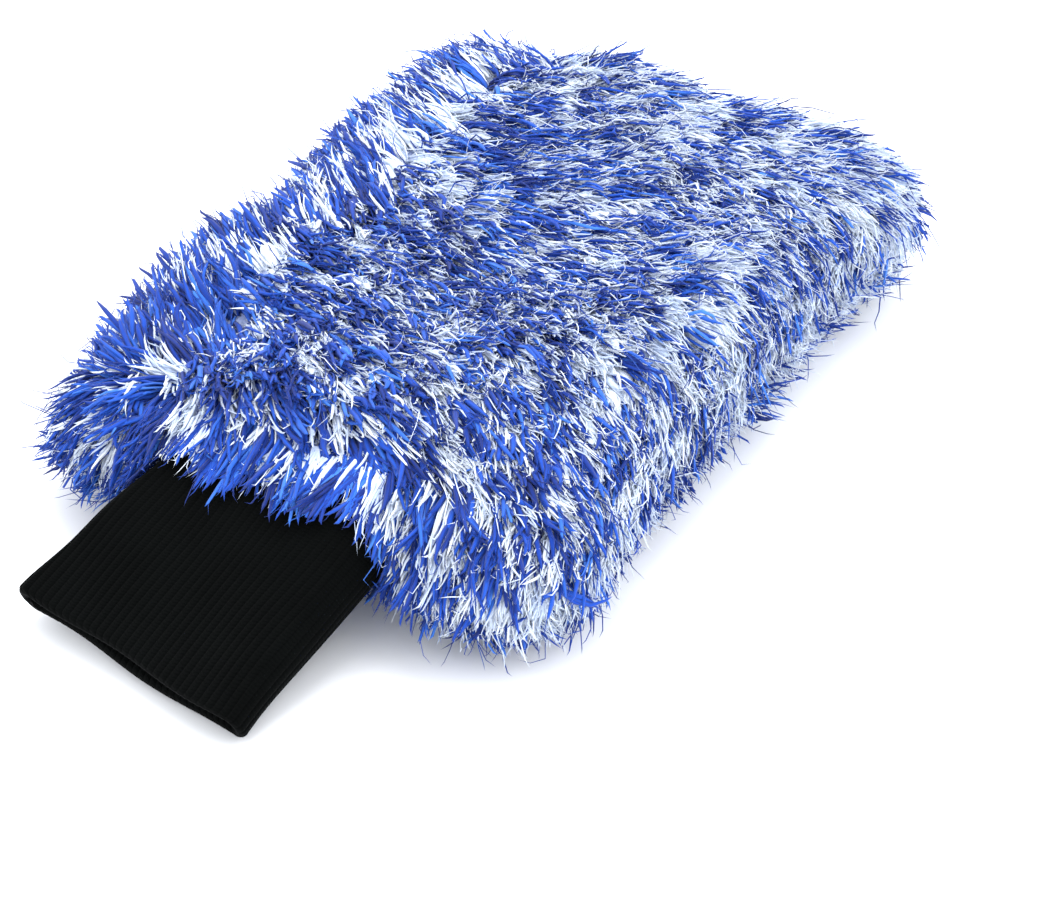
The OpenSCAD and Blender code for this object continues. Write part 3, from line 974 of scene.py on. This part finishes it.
def make_seams(mitt, rng):
    up = np.array([0, 0, 1.0])
    raw_edge = cloth_material("seam_edge", [linear(150, 168, 214), linear(226, 234, 248)], 1100.0, 0.0003)
    white_thread = thread_material("white_thread", [linear(176, 186, 206), linear(240, 244, 250)])

    def on_side(r):
        return mitt.follow(drape(side_path(r)))

    sides = (
        ("side_seam_allowance_band", "side_seam_allowance", SEAM_R, SEAM_THICK, SEAM_HALF),
        ("lining_seam_band", "lining_seam", LINING_SEAM_R, 0.0007, LINING_SEAM_HALF),
    )
    for name, node, radius, thickness, half in sides:
        path = on_side(radius - thickness / 2)
        ob = quad_mesh(name, *band(path, up, rounded(thickness, 2 * half, 16)))
        ob.data.materials.append(raw_edge)
        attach(ob, "mitt")
        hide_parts(node)
    inner = on_side(SEAM_R - SEAM_THICK - 0.0002)
    rows = [
        stitches(inner + [0, 0, side * SEAM_HALF * 0.6], -up, 0.0028, 0.00032, 0.0004, 0.0006, rng)
        for side in (-1, 1)
    ]
    ob = triangle_mesh("side_seam_stitches", *joined(rows))
    ob.data.materials.append(white_thread)
    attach(ob, "mitt")
    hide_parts("side_seam_stitching")
    edge = on_side(LINING_SEAM_R)
    ob = triangle_mesh("lining_overlock", *overlock(edge, up, 0.0030, 0.00018, 0.0007, 0.0014, rng))
    ob.data.materials.append(white_thread)
    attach(ob, "mitt")
    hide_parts("lining_seam")


WRIST_SEAM_INSET = 0.0013  # from the cuff's outer face


def make_cuff(rng):
    black = [linear(2, 3, 3), linear(4, 5, 5), linear(8, 9, 9)]
    knit = knit_material("black_rib", black, WALES, 150, 0.00014)
    ob = quad_mesh("rib_cuff_knit", *rib_tube())
    ob.data.materials.append(knit)
    bend_at_wrist(ob)
    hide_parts("rib_cuff")

    black_thread = thread_material("black_thread", [linear(5, 5, 6), linear(20, 21, 23)], gloss=0.06)
    axis = from_cuff(np.array([[1.0, 0, 0]]))[0] - HINGE
    s = np.linspace(0.003, CUFF_LENGTH - 0.007, 40)
    half_width, _, middle = cuff_size(s)
    edge = half_width - DOUBLE_RIB - 0.0012 + cuff_lean(s)
    seam = from_cuff(np.stack([-s, edge, middle], 1))
    across = from_cuff(np.array([[0, 0, 1.0]]))[0] - HINGE
    ob = quad_mesh("cuff_closing_ridge", *band(seam, across, rounded(0.0011, 0.0030, 12)))
    ob.data.materials.append(cloth_material("black_edge", black, 1300.0, 0.0003, sheen=0.02))
    wrap = overlock(seam, across, 0.0026, 0.00020, 0.0007, 0.0016, rng)
    wound = triangle_mesh("cuff_closing_overlock", *wrap)
    wound.data.materials.append(black_thread)
    for piece in (ob, wound):
        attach(piece, "cuff")
        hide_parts("cuff_closing_seam")

    rings = (
        ("wrist_seam_ring", "wrist_seam_allowance", WRIST_SEAM_INSET, 0.002, "rib_knit"),
        ("wrist_elastic_ring", "wrist_elastic", 0.00345, 0.001, "elastic"),
    )
    elastic = elastic_material("woven_elastic", [linear(58, 60, 64), linear(150, 153, 158)], 9, 220)
    raw = cloth_material("wrist_edge", [linear(14, 15, 17), linear(40, 43, 50)], 1200.0, 0.0003)
    for name, node, inset, thickness, slot in rings:
        path = neck_path(inset + thickness / 2, -0.00235)
        ring = band(path, axis, rounded(thickness, 0.0045, 16), closed=True)
        ob = quad_mesh(name, *ring)
        ob.data.materials.append(elastic if slot == "elastic" else raw)
        bend_at_wrist(ob)
        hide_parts(node)
    white_thread = thread_material("wrist_thread", [linear(150, 156, 170), linear(232, 236, 242)])
    rows = []
    for depth in (0.0006, 0.0016):
        path = neck_path(WRIST_SEAM_INSET + depth, -0.0050)
        rows.append(stitches(path, -axis, 0.0026, 0.0003, 0.0003, 0.0005, rng, closed=True))
    ob = triangle_mesh("wrist_stitches", *joined(rows))
    ob.data.materials.append(white_thread)
    bend_at_wrist(ob)
    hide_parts("wrist_stitching")


# ---- stage ---------------------------------------------------------------------------------


def area_light(name, place, target, size, power):
    data = bpy.data.lights.new(name, "AREA")
    data.size, data.energy = size, power
    ob = bpy.data.objects.new(name, data)
    ob.location = place
    ob.rotation_euler = (Vector(target) - Vector(place)).to_track_quat("-Z", "Y").to_euler()
    bpy.context.scene.collection.objects.link(ob)


def make_stage():
    reach, low = 3.0, -0.0002
    corners = [(-reach, -reach, low), (reach, -reach, low), (reach, reach, low), (-reach, reach, low)]
    me = bpy.data.meshes.new("floor")
    me.from_pydata(corners, [], [(0, 1, 2, 3)])
    floor = link("floor", me)
    paper = Shader("floor", 0.7, 0.0, 0.2)
    grain = paper.noise(paper.place(40.0))
    pale = [linear(236, 238, 241), linear(241, 243, 246)]
    floor.data.materials.append(paper.finish(paper.ramp(grain, pale)))
    world = bpy.data.worlds.new("world")
    world.use_nodes = True
    sky = world.node_tree.nodes["Background"].inputs
    sky["Color"].default_value = (0.97, 0.98, 1.0, 1)
    sky["Strength"].default_value = 2.1
    bpy.context.scene.world = world
    area_light("key", (0.1, 0.0, 1.0), (0, 0, 0.02), 0.5, 5)
    area_light("fill", (-0.15, -0.8, 0.8), (0, 0, 0.02), 0.8, 3.5)
    bpy.context.scene.view_settings.view_transform = "Standard"


def make_camera():
    data = bpy.data.cameras.new("camera")
    data.lens = 94
    az, el, far = math.radians(-59), math.radians(36), 0.83
    target = np.array([-0.031, -0.0212, -0.0010])
    back = np.array([math.sin(az) * math.cos(el), -math.cos(az) * math.cos(el), math.sin(el)])
    ob = bpy.data.objects.new("camera", data)
    ob.location = target + back * far
    ob.rotation_euler = Vector(-back).to_track_quat("-Z", "Y").to_euler()
    bpy.context.scene.collection.objects.link(ob)
    bpy.context.scene.camera = ob


random = np.random.default_rng(7)
make_stage()
make_camera()
mitt = Mitt()
make_layers(mitt)
make_seams(mitt, random)
make_cuff(random)
make_pile(mitt, random)
